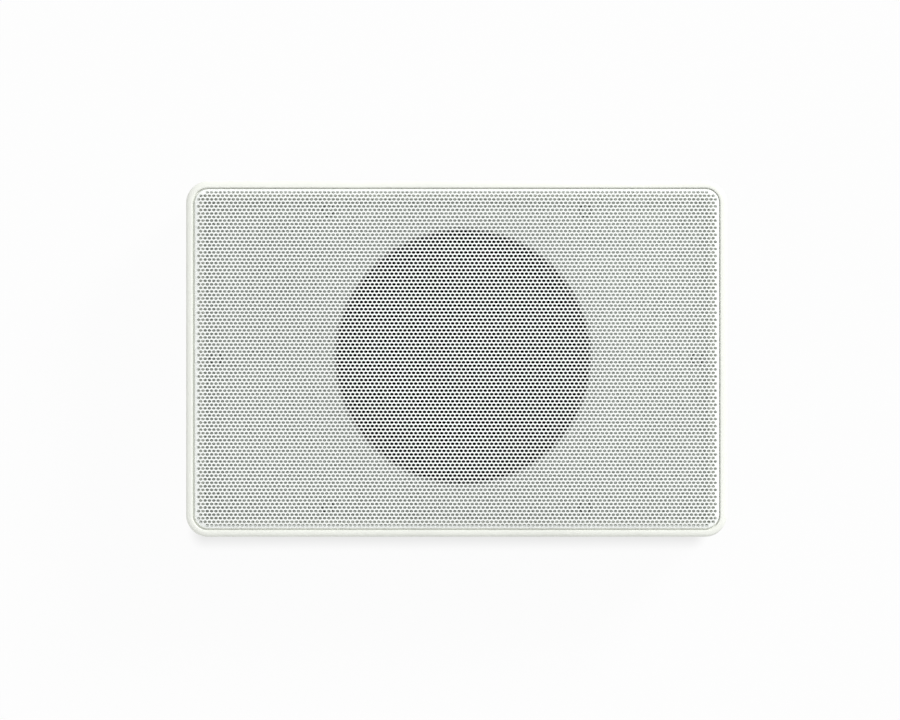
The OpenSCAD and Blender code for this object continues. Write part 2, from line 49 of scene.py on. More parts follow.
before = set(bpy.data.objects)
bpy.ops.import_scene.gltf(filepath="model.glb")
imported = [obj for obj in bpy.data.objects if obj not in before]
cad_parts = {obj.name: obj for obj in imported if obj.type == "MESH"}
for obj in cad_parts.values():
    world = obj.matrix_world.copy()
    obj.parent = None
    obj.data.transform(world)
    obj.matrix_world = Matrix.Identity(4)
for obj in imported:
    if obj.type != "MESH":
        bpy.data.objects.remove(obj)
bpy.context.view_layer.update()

MM = 0.001
# Points closer than this are taken as one
WELD = 0.001 * MM
# Scale of a wave texture that gives one band in each metre
BANDS_PER_SCALE = 0.31
# Brightness of the surroundings and of the wall, as the camera sees them
WHITE = 0.985
WALL_WHITE = 1.005
# Turns what lies flat to stand against the wall
UPRIGHT = (math.radians(90), 0.0, 0.0)
CABINET = "cabinet"

# Heights above the wall and sizes, read from the frame's own solids
RIM_LOW, RIM_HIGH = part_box("front_frame")
GRILLE_LOW, GRILLE_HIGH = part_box("grille")
BAFFLE_LOW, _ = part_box("baffle")
BASKET_LOW, BASKET_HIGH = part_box("driver_basket")
SURROUND_LOW, SURROUND_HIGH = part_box("surround")
SPIDER_LOW, SPIDER_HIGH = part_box("spider")
FRONT_WIDTH = RIM_HIGH.x - RIM_LOW.x
FRONT_HEIGHT = RIM_HIGH.z - RIM_LOW.z
RIM_FACE = -RIM_LOW.y
RIM_BACK = -RIM_HIGH.y
GRILLE_FACE = -GRILLE_LOW.y
GRILLE_FOOT = -GRILLE_HIGH.y
BAFFLE_FACE = -BAFFLE_LOW.y
DRIVER_AXIS = (BASKET_LOW + BASKET_HIGH) / 2


def length_setting(name, description, millimetres):
    """A setting that is a length."""
    return bpy.props.FloatProperty(
        name=name, description=description, default=millimetres * MM, unit="LENGTH")


def colour_setting(name, description, colour):
    """A setting that is a colour."""
    return bpy.props.FloatVectorProperty(
        name=name, description=description, default=colour, size=3, subtype="COLOR")


def power_setting(name, description, watts):
    """A setting that is a lamp's power."""
    return bpy.props.FloatProperty(name=name, description=description, default=watts, unit="POWER")


def share_setting(name, description, share):
    """A setting between none and all."""
    return bpy.props.FloatProperty(
        name=name, description=description, default=share, min=0.0, max=1.0, subtype="FACTOR")


class SpeakerCaseSettings(bpy.types.PropertyGroup):
    """Sizes and colours of the case and its front rim."""

    corner_radius: length_setting("Corner radius", "Outside corner radius of the rim", 10.5)
    rim_width: length_setting("Rim width", "Width of the rim seen from the front", 3.2)
    rim_slope_width: length_setting("Slope width", "Width of the rim's rounded outer slope", 2.7)
    rim_slope_drop: length_setting("Slope drop", "Height of the rim's rounded outer slope", 1.5)
    rim_inner_radius: length_setting("Inner rounding", "Rounding of the rim's inner edge", 0.5)
    ledge_width: length_setting("Ledge width", "Width of the ledge that carries the grille", 5.4)
    lip_depth: length_setting("Lip depth", "From the rim's face down to the lip that closes the gap", 1.6)
    rim_colour: colour_setting("Rim", "Colour of the rim", (0.842, 0.857, 0.802))
    housing_colour: colour_setting("Housing", "Colour of the rear housing", (0.67, 0.67, 0.64))
    baffle_colour: colour_setting("Baffle", "Colour of the panel behind the grille", (0.6, 0.63, 0.6))
    wall_screw_inset: length_setting(
        "Wall screw inset", "From the rim's edges to the middle of each wall screw's bore", 18)
    wall_bore: length_setting("Wall screw bore", "Diameter of the bores that the plugs close", 4.8)
    plug_head: length_setting("Plug head", "Diameter of the plugs' heads", 7.6)


class SpeakerGrilleSettings(bpy.types.PropertyGroup):
    """Sizes and colour of the perforated grille."""

    gap: length_setting("Gap", "Gap between the rim and the grille", 0.7)
    sheet: length_setting("Sheet", "Thickness of the sheet", 0.7)
    bend_radius: length_setting("Bend radius", "Outside radius of the folded edge", 0.75)
    pitch: length_setting("Pitch", "Distance between two holes of a row", 2.087)
    row_pitch: length_setting("Row pitch", "Distance between two rows", 1.703)
    reach_corner: length_setting("Pattern corner", "Corner radius of the field of holes", 4.4)
    hole_width: length_setting("Hole width", "Width of one hole along its row", 1.84)
    hole_height: length_setting("Hole height", "Height of one hole across the rows", 1.39)
    crown_width: length_setting("Crown width", "Width of the border where the sheet bends back", 2.6)
    crown_drop: length_setting("Crown drop", "How far the sheet has bent back where its fold begins", 0.55)
    hem: length_setting("Hem", "Thickness of the folded edge behind the outermost holes", 1.55)
    shift_x: length_setting("Play sideways", "How far the grille sits to the right in its gap", 0.26)
    shift_z: length_setting("Play upwards", "How far the grille sits up in its gap", 0.1)
    columns: bpy.props.IntProperty(
        name="Columns", description="Holes in a full row", default=120, min=3)
    rows: bpy.props.IntProperty(
        name="Rows", description="Rows of holes", default=95, min=3)
    colour: colour_setting("Coat", "Colour of the powder coat", (0.922, 0.944, 0.92))


class SpeakerDriverSettings(bpy.types.PropertyGroup):
    """Sizes and colours of the driver's soft parts."""

    sectors: bpy.props.IntProperty(
        name="Sectors", description="Stretches in which the soft rings follow the cone", default=12, min=6)
    roll_height: length_setting("Roll", "Radius of the surround's half roll", 3.5)
    roll_outer: length_setting("Roll outside", "Outside radius of the half roll", 50.8)
    surround_inner: length_setting("Surround inside", "Inside radius of the surround", 40.6)
    surround_wall: length_setting("Surround wall", "Thickness of the surround", 0.8)
    rubber_colour: colour_setting("Rubber", "Colour of the surround", (0.005, 0.005, 0.0055))
    cone_colour: colour_setting("Cone", "Colour of the cone's paper", (0.006, 0.006, 0.0065))


class SpeakerStageSettings(bpy.types.PropertyGroup):
    """Camera, lamps, wall and floor."""

    view_width: length_setting("View width", "Width that the picture takes in at the grille's face", 432.5)
    camera_distance: length_setting("Camera distance", "From the grille's face to the camera", 2600)
    aim_x: length_setting("Aim sideways", "Middle of the picture, from the speaker's middle", -3.1)
    aim_z: length_setting("Aim upwards", "Middle of the picture, from the speaker's middle", -0.5)
    key_power: power_setting("Key lamp", "Power of the main lamp at the upper right", 206.0)
    fill_power: power_setting("Fill lamp", "Power of the soft lamp at the left", 9.0)
    back_power: power_setting(
        "Back lamp", "Power of the lamp behind the wall, for views of the back", 14.0)
    sky: bpy.props.FloatProperty(
        name="Surroundings", description="Strength of the even light all round", default=0.5)
    wall_light: share_setting(
        "Wall glow", "Share of the wall's brightness that doesn't take shadows", 0.95)
    # A painted contact shadow on the wall, not cast by the lamps.
    painted_contact_shadow: share_setting("Contact shade", "How much the wall darkens below the speaker", 0.2)


# Small tools for meshes

def arc(centre, radius, start, end, steps, rise=None):
    """Points of an arc in a profile, with its angles in degrees; an oval one if its rise is given."""
    turns = [math.radians(start + (end - start) * i / steps) for i in range(steps + 1)]
    up = radius if rise is None else rise
    return [(centre[0] + radius * math.cos(t), centre[1] + up * math.sin(t)) for t in turns]


def link_piece(name, mesh, material, smooth_angle=None):
    """A linked object for a mesh, with one material and its sharp edges set by angle."""
    piece = bpy.data.objects.new(name, mesh)
    bpy.context.scene.collection.objects.link(piece)
    mesh.materials.clear()
    mesh.materials.append(material)
    if smooth_angle is not None:
        smooth_faces(mesh, smooth_angle)
    return piece


def smooth_faces(mesh, angle):
    """Shades a mesh smoothly, except over edges sharper than an angle in degrees."""
    mesh.shade_smooth()
    mesh.set_sharp_from_angle(angle=math.radians(angle))


def solid_mesh(name, points, faces):
    """A mesh with its doubles merged and its faces pointing outwards."""
    mesh = bpy.data.meshes.new(name)
    mesh.from_pydata(points, [], faces)
    work = bmesh.new()
    work.from_mesh(mesh)
    bmesh.ops.remove_doubles(work, verts=work.verts, dist=WELD / 10)
    bmesh.ops.recalc_face_normals(work, faces=work.faces)
    work.to_mesh(mesh)
    work.free()
    return mesh


def weighted_normals(piece):
    """Keeps large flat faces flat beside rounded ones."""
    modifier = piece.modifiers.new("flat faces stay flat", "WEIGHTED_NORMAL")
    modifier.keep_sharp = True


def ring_faces(rings, size, closed=True, around=True):
    """Faces between rings of points that are listed one after another.

    The last ring meets the first if closed, or else both ends get a lid. The last point of each ring meets
    its first if around.
    """
    gaps = rings if closed else rings - 1
    faces = [
        (a * size + i, a * size + (i + 1) % size, b * size + (i + 1) % size, b * size + i)
        for a in range(gaps) for b in [(a + 1) % rings] for i in range(size if around else size - 1)
    ]
    if not closed:
        faces += [tuple(range(size)), tuple(range(gaps * size, rings * size))]
    return faces


def corner_stations(steps):
    """Corner centre and outward direction of each step round the front's rounded rectangle."""
    radius = bpy.context.scene.speaker_case.corner_radius
    stations = []
    for quarter, (side_x, side_z) in enumerate(((1, 1), (-1, 1), (-1, -1), (1, -1))):
        centre = (side_x * (FRONT_WIDTH / 2 - radius), side_z * (FRONT_HEIGHT / 2 - radius))
        for i in range(steps + 1):
            turn = math.radians(90 * (quarter + i / steps))
            stations.append((centre, (math.cos(turn), math.sin(turn))))
    return stations


def carry_round(name, profile, steps=16, shifted=()):
    """A closed profile carried round the front; its first value is measured from the corner centres.

    The points whose numbers are in shifted move with the grille's play in its gap.
    """
    stations = corner_stations(steps)
    play = bpy.context.scene.speaker_grille
    points = []
    for centre, way in stations:
        for i, (out, height) in enumerate(profile):
            move = 1 if i in shifted else 0
            points.append((centre[0] + way[0] * out + move * play.shift_x, -height,
                           centre[1] + way[1] * out + move * play.shift_z))
    return solid_mesh(name, points, ring_faces(len(stations), len(profile)))


def turned_points(profile, turns, centre):
    """Points of a profile of (radius, height) at each turn about the axis through a centre."""
    return [
        (centre.x + r * math.cos(turn), -h, centre.z + r * math.sin(turn))
        for turn in turns for r, h in profile
    ]


def sector_mesh(name, profile, start, end, steps):
    """A closed profile of (radius, height) turned about the driver's axis from one angle to another."""
    turns = [math.radians(start + (end - start) * i / steps) for i in range(steps + 1)]
    points = turned_points(profile, turns, DRIVER_AXIS)
    return solid_mesh(name, points, ring_faces(len(turns), len(profile), closed=False))


def turned_mesh(name, profile, steps=32):
    """A profile of (radius, height) that starts and ends on its axis, turned fully about it."""
    turns = [2 * math.pi * i / steps for i in range(steps)]
    points = turned_points(profile, turns, Vector((0, 0, 0)))
    return solid_mesh(name, points, ring_faces(steps, len(profile), around=False))


def sheet_profile(path, thickness):
    """Closed outline of a sheet of even thickness along a path of (radius, height)."""
    left, right = [], []
    for i, point in enumerate(path):
        before = Vector(path[max(i, 1)]) - Vector(path[max(i, 1) - 1])
        after = Vector(path[min(i, len(path) - 2) + 1]) - Vector(path[min(i, len(path) - 2)])
        before.normalize()
        after.normalize()
        normal = Vector((-before.y - after.y, before.x + after.x)).normalized()
        step = normal * thickness / 2 / normal.dot(Vector((-before.y, before.x)))
        left.append(tuple(Vector(point) + step))
        right.append(tuple(Vector(point) - step))
    return left + right[::-1]


def smooth_path(route, steps):
    """Points of a smooth curve through a route, with steps from each of its points to the next."""
    points = [Vector(p) for p in route]
    path = []
    for i in range(len(points) - 1):
        a, b = points[max(i - 1, 0)], points[i]
        c, d = points[i + 1], points[min(i + 2, len(points) - 1)]
        for s in range(steps):
            t = s / steps
            path.append((2 * b + (c - a) * t + (2 * a - 5 * b + 4 * c - d) * t ** 2
                         + (3 * b - a - 3 * c + d) * t ** 3) / 2)
    path.append(points[-1])
    return path


def tube_mesh(name, route, diameter, sides=10, steps=6):
    """A round lead along a smooth curve through its route, with closed ends."""
    path = smooth_path(route, steps)
    points = []
    for i, centre in enumerate(path):
        ahead = (path[min(i + 1, len(path) - 1)] - path[max(i - 1, 0)]).normalized()
        side = ahead.cross(Vector((0.2, -0.1, 1))).normalized()
        rise = ahead.cross(side)
        for k in range(sides):
            turn = 2 * math.pi * k / sides
            points.append(tuple(centre + diameter / 2 * (math.cos(turn) * side + math.sin(turn) * rise)))
    return solid_mesh(name, points, ring_faces(len(path), sides, closed=False))


# Small tools for node trees

def add(tree, kind, inputs=None, **settings):
    """Adds a node, sets its own settings, and gives each input a value or a link."""
    made = tree.nodes.new(kind)
    for key, value in settings.items():
        setattr(made, key, value)
    for key, value in (inputs or {}).items():
        fill(tree, made.inputs[key], value)
    return made


def fill(tree, socket, value):
    """Gives an input a link, if the value is another node's output, or else the value itself."""
    if isinstance(value, bpy.types.NodeSocket):
        tree.links.new(value, socket)
    else:
        socket.default_value = value


def geometry(tree, kind, inputs=None, **settings):
    """First output of one Geometry node."""
    return add(tree, "GeometryNode" + kind, inputs, **settings).outputs[0]


def calculate(tree, operation, a, b=None):
    """Output of one Math node."""
    inputs = {0: a} if b is None else {0: a, 1: b}
    return add(tree, "ShaderNodeMath", inputs, operation=operation).outputs[0]


def vector_math(tree, operation, *inputs):
    """Output of one Vector Math node."""
    made = add(tree, "ShaderNodeVectorMath", dict(enumerate(inputs)), operation=operation)
    return made.outputs["Value" if operation == "LENGTH" else "Vector"]


def combine(tree, **parts):
    """A vector made of its X, Y and Z."""
    return add(tree, "ShaderNodeCombineXYZ", parts).outputs[0]


def mix_shaders(tree, share, first, second):
    """Shader that goes from the first to the second as its share goes from 0 to 1."""
    return add(tree, "ShaderNodeMixShader", {"Fac": share, 1: first.outputs[0], 2: second.outputs[0]})


def shade(colour, factor):
    """A colour made brighter or darker, up to full white."""
    return tuple(min(c * factor, 1.0) for c in colour)


class Finish:
    """A new material: its tree, its object coordinates and its shader."""

    def __init__(self, name, **shader):
        self.material = bpy.data.materials.new(name)
        self.material.use_nodes = True
        self.tree = self.material.node_tree
        self.tree.nodes.clear()
        self.place = add(self.tree, "ShaderNodeTexCoord").outputs["Object"]
        self.shader = add(self.tree, "ShaderNodeBsdfPrincipled", shader)
        add(self.tree, "ShaderNodeOutputMaterial", {"Surface": self.shader.outputs["BSDF"]})

    def done(self, colour, roughness, relief):
        """The material, with its colour, roughness and relief led to the shader."""
        for key, value in (("Base Color", colour), ("Roughness", roughness), ("Normal", relief)):
            fill(self.tree, self.shader.inputs[key], value)
        return self.material

    def mapped(self, scale=(1, 1, 1), location=(0, 0, 0)):
        """The object coordinates, stretched and moved."""
        inputs = {"Vector": self.place, "Scale": scale, "Location": location}
        return add(self.tree, "ShaderNodeMapping", inputs).outputs["Vector"]

    def noise(self, size, detail=2.0, roughness=0.5, scale=None):
        """Noise whose blotches are about size metres across, stretched if a scale is given."""
        vector = self.place if scale is None else self.mapped(scale)
        inputs = {"Vector": vector, "Scale": 1 / size, "Detail": detail, "Roughness": roughness}
        return add(self.tree, "ShaderNodeTexNoise", inputs).outputs["Fac"]

    def cells(self, size):
        """Distance from the middle of the nearest of many cells about size metres across."""
        inputs = {"Vector": self.place, "Scale": 1 / size}
        return add(self.tree, "ShaderNodeTexVoronoi", inputs).outputs["Distance"]

    def waves(self, size, axis):
        """Even waves about size metres apart along an axis."""
        inputs = {"Vector": self.place, "Scale": BANDS_PER_SCALE / size}
        return add(self.tree, "ShaderNodeTexWave", inputs, wave_type="BANDS", wave_profile="SIN",
                   bands_direction=axis).outputs["Fac"]

    def tint(self, value, colour, *stops):
        """Colour ramp from (place, factor) pairs, each factor making the colour brighter or darker."""
        made = add(self.tree, "ShaderNodeValToRGB", {"Fac": value})
        elements = made.color_ramp.elements
        while len(elements) < len(stops):
            elements.new(0.5)
        for element, (place, factor) in zip(elements, stops):
            element.position = place
            element.color = (*shade(colour, factor), 1.0)
        return made.outputs["Color"]

    def spread(self, value, low, high):
        """Maps 0 to 1 onto low to high."""
        inputs = {"Value": value, "To Min": low, "To Max": high}
        return add(self.tree, "ShaderNodeMapRange", inputs).outputs["Result"]

    def bump(self, height, depth, under=None):
        """Bump whose relief is depth metres high, over another one if that is given."""
        inputs = {"Height": height, "Distance": depth, "Strength": 1.0}
        if under is not None:
            inputs["Normal"] = under
        return add(self.tree, "ShaderNodeBump", inputs).outputs["Normal"]


# Finishes

def moulded_plastic(name, colour, grain=0.35 * MM, depth=0.012 * MM, gloss=(0.42, 0.55), painted_light_rightward=0.0):
    """Moulded plastic with a fine eroded grain, faint flow tint, uneven sheen and painted light that makes
    it paler to the right.
    """
    f = Finish(name, IOR=1.49)
    grains = f.noise(grain, 3.0, 0.6)
    across = add(f.tree, "ShaderNodeSeparateXYZ", {0: f.place}).outputs["X"]
    flow = f.noise(60 * MM, scale=(1, 1, 0.4))
    # Painted light: the tint grows paler to the right, towards the key lamp.
    level = calculate(f.tree, "ADD", flow, calculate(f.tree, "MULTIPLY", across, painted_light_rightward))
    tint = f.tint(level, colour, (0.0, 0.85), (0.4, 0.985), (0.6, 1.015), (1.0, 1.15))
    sheen = f.spread(f.noise(22 * MM, 3.0), *gloss)
    return f.done(tint, sheen, f.bump(grains, depth))


def powder_coat(name, colour):
    """White powder coat on sheet steel: a soft orange peel under a fine tooth."""
    f = Finish(name, IOR=1.5)
    peel = f.noise(1.4 * MM)
    tooth = f.noise(0.16 * MM)
    patch = f.noise(35 * MM)
    tint = f.tint(patch, colour, (0.3, 0.985), (0.7, 1.01))
    relief = f.bump(tooth, 0.004 * MM, f.bump(peel, 0.008 * MM))
    return f.done(tint, f.spread(patch, 0.38, 0.47), relief)


def matt_rubber(name, colour):
    """Black rubber with a fine matt skin and a faint grey bloom in patches."""
    f = Finish(name, **{"IOR": 1.52, "Specular IOR Level": 0.15})
    skin = f.noise(0.25 * MM, 3.0)
    patch = f.noise(14 * MM, 4.0, 0.6)
    tint = f.tint(patch, colour, (0.35, 1.0), (0.8, 2.2))
    return f.done(tint, f.spread(patch, 0.55, 0.72), f.bump(skin, 0.01 * MM))


def foam_rubber(name, colour):
    """Open foam: small dark cells between pale walls."""
    f = Finish(name, IOR=1.45)
    cells = f.cells(0.6 * MM)
    tint = f.tint(cells, colour, (0.15, 0.4), (0.6, 1.0))
    return f.done(tint, 0.95, f.bump(cells, 0.12 * MM))


def pressed_paper(name, colour, gloss=(0.62, 0.8)):
    """Pressed paper pulp: matted fibres with a slight sheen where it was pressed harder."""
    f = Finish(name, **{"IOR": 1.46, "Specular IOR Level": 0.15})
    fibres = f.noise(0.35 * MM, 4.0, 0.7, scale=(1, 0.25, 1))
    matting = f.noise(2.2 * MM, 3.0)
    tint = f.tint(fibres, colour, (0.3, 0.7), (0.75, 1.7))
    relief = f.bump(fibres, 0.03 * MM, f.bump(matting, 0.05 * MM))
    return f.done(tint, f.spread(matting, *gloss), relief)


def woven_cloth(name, colour, thread=0.55 * MM):
    """Plain weave stiffened with resin, threads crossing in the plane of the front."""
    f = Finish(name, IOR=1.5)
    weave = calculate(f.tree, "MAXIMUM", f.waves(thread, "X"), f.waves(thread, "Z"))
    soak = f.noise(9 * MM, 3.0)
    tint = f.tint(weave, colour, (0.2, 0.45), (0.9, 1.15))
    return f.done(tint, f.spread(soak, 0.55, 0.8), f.bump(weave, 0.08 * MM))


def turned_steel(name, colour):
    """Zinc plated steel with the fine rings that a lathe leaves about the driver's axis."""
    f = Finish(name, Metallic=1.0)
    centred = f.mapped(location=(-DRIVER_AXIS.x, 0, -DRIVER_AXIS.z))
    radius = vector_math(f.tree, "LENGTH", vector_math(f.tree, "MULTIPLY", centred, (1, 0, 1)))
    rings = add(f.tree, "ShaderNodeTexNoise", {"W": radius, "Scale": 1 / (0.3 * MM), "Detail": 3.0},
                noise_dimensions="1D").outputs["Fac"]
    bloom = f.noise(11 * MM, 3.0)
    tint = f.tint(bloom, colour, (0.3, 0.85), (0.75, 1.1))
    return f.done(tint, f.spread(rings, 0.26, 0.46), f.bump(rings, 0.01 * MM))


def stamped_steel(name, colour):
    """Black lacquer on stamped sheet steel, slightly wavy, with paler rubbed spots."""
    f = Finish(name, **{"IOR": 1.5, "Specular IOR Level": 0.2})
    wave = f.noise(6 * MM)
    grit = f.noise(0.3 * MM)
    tint = f.tint(wave, colour, (0.4, 1.0), (0.85, 1.8))
    relief = f.bump(grit, 0.005 * MM, f.bump(wave, 0.03 * MM))
    return f.done(tint, f.spread(wave, 0.3, 0.5), relief)


def plated_metal(name, colour, grain=0.5 * MM):
    """Small plated or bare metal piece with drawn grain and spots of tarnish."""
    f = Finish(name, Metallic=1.0)
    drawn = f.noise(grain, 3.0, scale=(1, 0.15, 1))
    spots = f.noise(2.5 * MM, 3.0)
    tint = f.tint(spots, colour, (0.35, 0.72), (0.7, 1.0))
    return f.done(tint, f.spread(drawn, 0.24, 0.42), f.bump(drawn, 0.008 * MM))


def wound_wire(name, colour, wire=0.28 * MM):
    """Enamelled wire, one turn beside the next along the driver's axis."""
    f = Finish(name, Metallic=1.0)
    turns = f.waves(wire, "Y")
    tint = f.tint(turns, colour, (0.1, 0.35), (0.7, 1.0))
    return f.done(tint, 0.3, f.bump(turns, 0.1 * MM))


def ground_ferrite(name, colour):
    """Dark ground ferrite with fine pits and scratches."""
    f = Finish(name, IOR=1.9)
    pits = f.cells(0.9 * MM)
    scratch = f.noise(0.4 * MM, 3.0, scale=(0.1, 1, 1))
    tint = f.tint(pits, colour, (0.05, 0.5), (0.3, 1.0))
    return f.done(tint, f.spread(scratch, 0.4, 0.65), f.bump(pits, 0.02 * MM))


def loose_felt(name, colour):
    """Loose felt with tangled fibres and darker flecks."""
    f = Finish(name, IOR=1.45)
    tangle = f.noise(1.2 * MM, 6.0, 0.75)
    flecks = f.noise(3 * MM, 4.0, 0.7, scale=(1, 3, 1))
    tint = f.tint(flecks, colour, (0.35, 0.6), (0.6, 1.0), (0.8, 1.1))
    return f.done(tint, 0.96, f.bump(tangle, 0.5 * MM))


def sleeve_plastic(name, colour):
    """Soft glossy sleeve of an inner lead, slightly wavy."""
    f = Finish(name, IOR=1.5)
    wave = f.noise(3 * MM)
    tint = f.tint(wave, colour, (0.3, 0.85), (0.7, 1.1))
    return f.done(tint, f.spread(wave, 0.25, 0.4), f.bump(wave, 0.03 * MM))


def from_rectangle(tree, place, middle, half_size):
    """How far a point of the wall lies outside a rectangle."""
    over = []
    for axis, centre, half in zip("XZ", middle, half_size):
        away = calculate(tree, "ABSOLUTE", calculate(tree, "SUBTRACT", place.outputs[axis], centre))
        past = calculate(tree, "MAXIMUM", calculate(tree, "SUBTRACT", away, half), 0.0)
        over.append(calculate(tree, "POWER", past, 2.0))
    return calculate(tree, "SQRT", calculate(tree, "ADD", *over))


def backdrop(name, colour, glow, painted_contact_shadow=0.0):
    """Pale wall or floor. Seen from its back it is clear, and it throws no shadow itself.

    Most of its brightness glows for the camera. A painted contact shadow darkens it below the speaker and at
    its left, and painted shade dims it where the speaker covers the wall.
    """
    shade_middle = (-4 * MM, -4.5 * MM)
    shade_half = (FRONT_WIDTH / 2 - 11 * MM, FRONT_HEIGHT / 2 - 5 * MM)
    shade_fade = 10 * MM
    cover_inset = 8 * MM
    painted_cover_shade = 0.26
    material = bpy.data.materials.new(name)
    material.use_nodes = True
    t = material.node_tree
    t.nodes.clear()
    place = add(t, "ShaderNodeSeparateXYZ", {0: add(t, "ShaderNodeTexCoord").outputs["Object"]})
    # Painted contact shadow: the glow darkens near the speaker's lower and left edges.
    level = add(t, "ShaderNodeMapRange", {
        "Value": from_rectangle(t, place, shade_middle, shade_half), "From Max": shade_fade,
        "To Min": WALL_WHITE * (1 - painted_contact_shadow), "To Max": WALL_WHITE},
        interpolation_type="SMOOTHSTEP").outputs["Result"]
    # Painted shade: the wall's glow is dimmed where the speaker covers it.
    cover_half = (FRONT_WIDTH / 2 - cover_inset, FRONT_HEIGHT / 2 - cover_inset)
    open_wall = calculate(t, "GREATER_THAN", from_rectangle(t, place, (0.0, 0.0), cover_half), 0.0)
    level = calculate(t, "MULTIPLY", level, calculate(t, "MAXIMUM", open_wall, painted_cover_shade))
    plaster = add(t, "ShaderNodeBsdfDiffuse", {"Color": (*colour, 1.0)})
    white = add(t, "ShaderNodeEmission", {"Color": (1.0, 1.0, 1.0, 1.0), "Strength": level})
    path = add(t, "ShaderNodeLightPath").outputs
    mirrored = calculate(t, "MAXIMUM", path["Is Glossy Ray"], path["Is Transmission Ray"])
    seen = calculate(t, "MAXIMUM", path["Is Camera Ray"], mirrored)
    lit = mix_shaders(t, calculate(t, "MULTIPLY", seen, glow), plaster, white)
    behind = add(t, "ShaderNodeNewGeometry").outputs["Backfacing"]
    hidden = calculate(t, "MAXIMUM", behind, path["Is Shadow Ray"])
    out = mix_shaders(t, hidden, lit, add(t, "ShaderNodeBsdfTransparent"))
    add(t, "ShaderNodeOutputMaterial", {"Surface": out.outputs[0]})
    return material


# Geometry node trees

def new_tree(name, **sockets):
    """A geometry tree with inputs of each kind besides its geometry: it, their identifiers and outputs."""
    tree = bpy.data.node_groups.new(name, "GeometryNodeTree")
    ids = {}
    for kind, labels in {"Geometry": ("Geometry",), **sockets}.items():
        for label in labels:
            socket = tree.interface.new_socket(name=label, in_out="INPUT", socket_type="NodeSocket" + kind)
            ids[label] = socket.identifier
    tree.interface.new_socket(name="Geometry", in_out="OUTPUT", socket_type="NodeSocketGeometry")
    return tree, ids, add(tree, "NodeGroupInput").outputs


def end_tree(tree, whole, material):
    """Ends a tree: its instances are made real and get their material."""
    real = geometry(tree, "RealizeInstances", {"Geometry": whole})
    coated = geometry(tree, "SetMaterial", {"Geometry": real, "Material": material})
    add(tree, "NodeGroupOutput", {"Geometry": coated})


def perforation_tree():
    """Tree that gives a flat outline staggered rows of oval holes and a thickness, and keeps one band."""
    tree, ids, given = new_tree(
        "perforated sheet", Vector=("Reach", "Half size", "Play"), Int=("Columns", "Rows", "Hole sides"),
        Float=("Pitch", "Row pitch", "Hole width", "Hole height", "Sheet", "Face height", "Reach corner",
               "Corner", "Crown width", "Crown drop", "Band foot", "Band top"), Material=("Coat",))

    # One point for each hole, every second row shifted by half a pitch
    span_x = calculate(tree, "MULTIPLY", calculate(tree, "SUBTRACT", given["Columns"], 1.0), given["Pitch"])
    span_z = calculate(tree, "MULTIPLY", calculate(tree, "SUBTRACT", given["Rows"], 1.0), given["Row pitch"])
    grid = geometry(tree, "MeshGrid", {
        "Size X": span_x, "Size Y": span_z, "Vertices X": given["Columns"], "Vertices Y": given["Rows"]})
    row = calculate(tree, "MODULO", geometry(tree, "InputIndex"), given["Rows"])
    half_pitch = calculate(tree, "DIVIDE", given["Pitch"], 2.0)
    shift = calculate(tree, "MULTIPLY", calculate(tree, "MODULO", row, 2.0), half_pitch)
    staggered = geometry(tree, "SetPosition", {"Geometry": grid, "Offset": combine(tree, X=shift)})
    length, *_ = past_corner(tree, given["Reach"], given["Reach corner"])
    outside = calculate(tree, "GREATER_THAN", length, given["Reach corner"])
    points = geometry(tree, "DeleteGeometry", {"Geometry": staggered, "Selection": outside})

    # A plain cell and one with a hole; their corners meet those of the rows above and below
    plain = geometry(tree, "MeshGrid", {
        "Size X": given["Pitch"], "Size Y": given["Row pitch"], "Vertices X": 3, "Vertices Y": 2})
    circle = geometry(tree, "CurvePrimitiveCircle", {"Resolution": given["Hole sides"], "Radius": 0.5})
    extent = combine(tree, X=given["Hole width"], Y=given["Hole height"], Z=1.0)
    hole = geometry(tree, "Transform", {"Geometry": circle, "Scale": extent})
    holed = fill_between(tree, free_edges(tree, plain), hole)
    field = laid_out(tree, points, plain, given)
    pierced = laid_out(tree, points, holed, given)

    # The border between the cells and the outline, then the sheet's thickness
    outline = geometry(tree, "MeshToCurve", {"Mesh": given["Geometry"]})
    border = fill_between(tree, outline, free_edges(tree, field))
    back = joined_mesh(tree, border, pierced)
    front = geometry(tree, "ExtrudeMesh", {
        "Mesh": back, "Offset": combine(tree, Z=given["Sheet"]), "Offset Scale": 1.0, "Individual": False})
    under = geometry(tree, "FlipFaces", {"Mesh": back})
    whole = joined_mesh(tree, front, under)

    # The sheet bends back a little towards its fold
    length, *_ = past_corner(tree, given["Half size"], given["Corner"])
    start = calculate(tree, "SUBTRACT", given["Corner"], given["Crown width"])
    over = calculate(tree, "MAXIMUM", calculate(tree, "SUBTRACT", length, start), 0.0)
    share = calculate(tree, "DIVIDE", over, given["Crown width"])
    drop = calculate(tree, "MULTIPLY", calculate(tree, "MULTIPLY", share, share), given["Crown drop"])
    fall = combine(tree, Z=calculate(tree, "MULTIPLY", drop, -1.0))
    crowned = geometry(tree, "SetPosition", {"Geometry": whole, "Offset": fall})

    # One band of it, stood up with its face at its height from the wall
    place = geometry(tree, "InputPosition")
    level = add(tree, "ShaderNodeSeparateXYZ", {0: place}).outputs["Y"]
    below = calculate(tree, "LESS_THAN", level, given["Band foot"])
    above = calculate(tree, "GREATER_THAN", level, given["Band top"])
    away = calculate(tree, "MAXIMUM", below, above)
    band = geometry(tree, "DeleteGeometry", {"Geometry": crowned, "Selection": away}, domain="FACE")
    crisp = geometry(tree, "SetShadeSmooth", {"Geometry": band, "Shade Smooth": False}, domain="FACE")
    depth = calculate(tree, "SUBTRACT", given["Sheet"], given["Face height"])
    stood = geometry(tree, "Transform", {
        "Geometry": crisp, "Rotation": UPRIGHT,
        "Translation": vector_math(tree, "ADD", given["Play"], combine(tree, Y=depth))})
    end_tree(tree, stood, given["Coat"])
    return tree, ids


